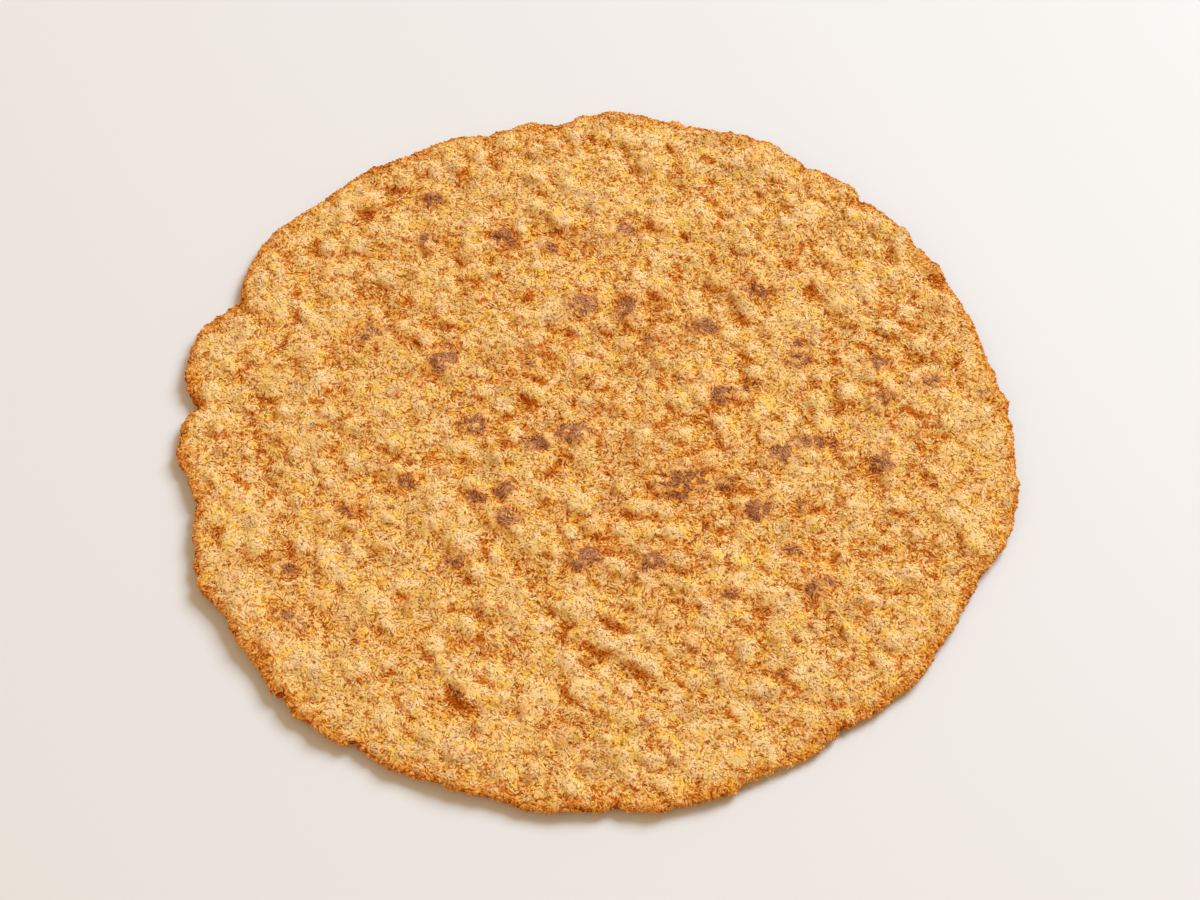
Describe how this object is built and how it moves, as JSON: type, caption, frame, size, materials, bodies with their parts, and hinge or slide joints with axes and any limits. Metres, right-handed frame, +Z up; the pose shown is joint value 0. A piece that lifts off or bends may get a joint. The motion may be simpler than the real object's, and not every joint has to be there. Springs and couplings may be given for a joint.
{
  "type": "tortilla",
  "caption": "Thin round hand-rolled flatbread of coarse seed meal, toasted in patches, with a lumpy face and an uneven lobed rim.",
  "frame": {"origin": "middle of the bread's outline, on the flat underside that it lies on", "axes": "+Z up through the thickness, +X to the right and +Y to the back as the bread lies in the picture"},
  "size_m": [0.184, 0.1826, 0.0045],
  "materials": {
    "toasted_bread": "dry baked meal, grainy and matt, pale gold with orange brown hollows and toasted brown spots"
  },
  "bodies": {
    "root": {"tortilla": "toasted_bread"}
  },
  "joints": []
}
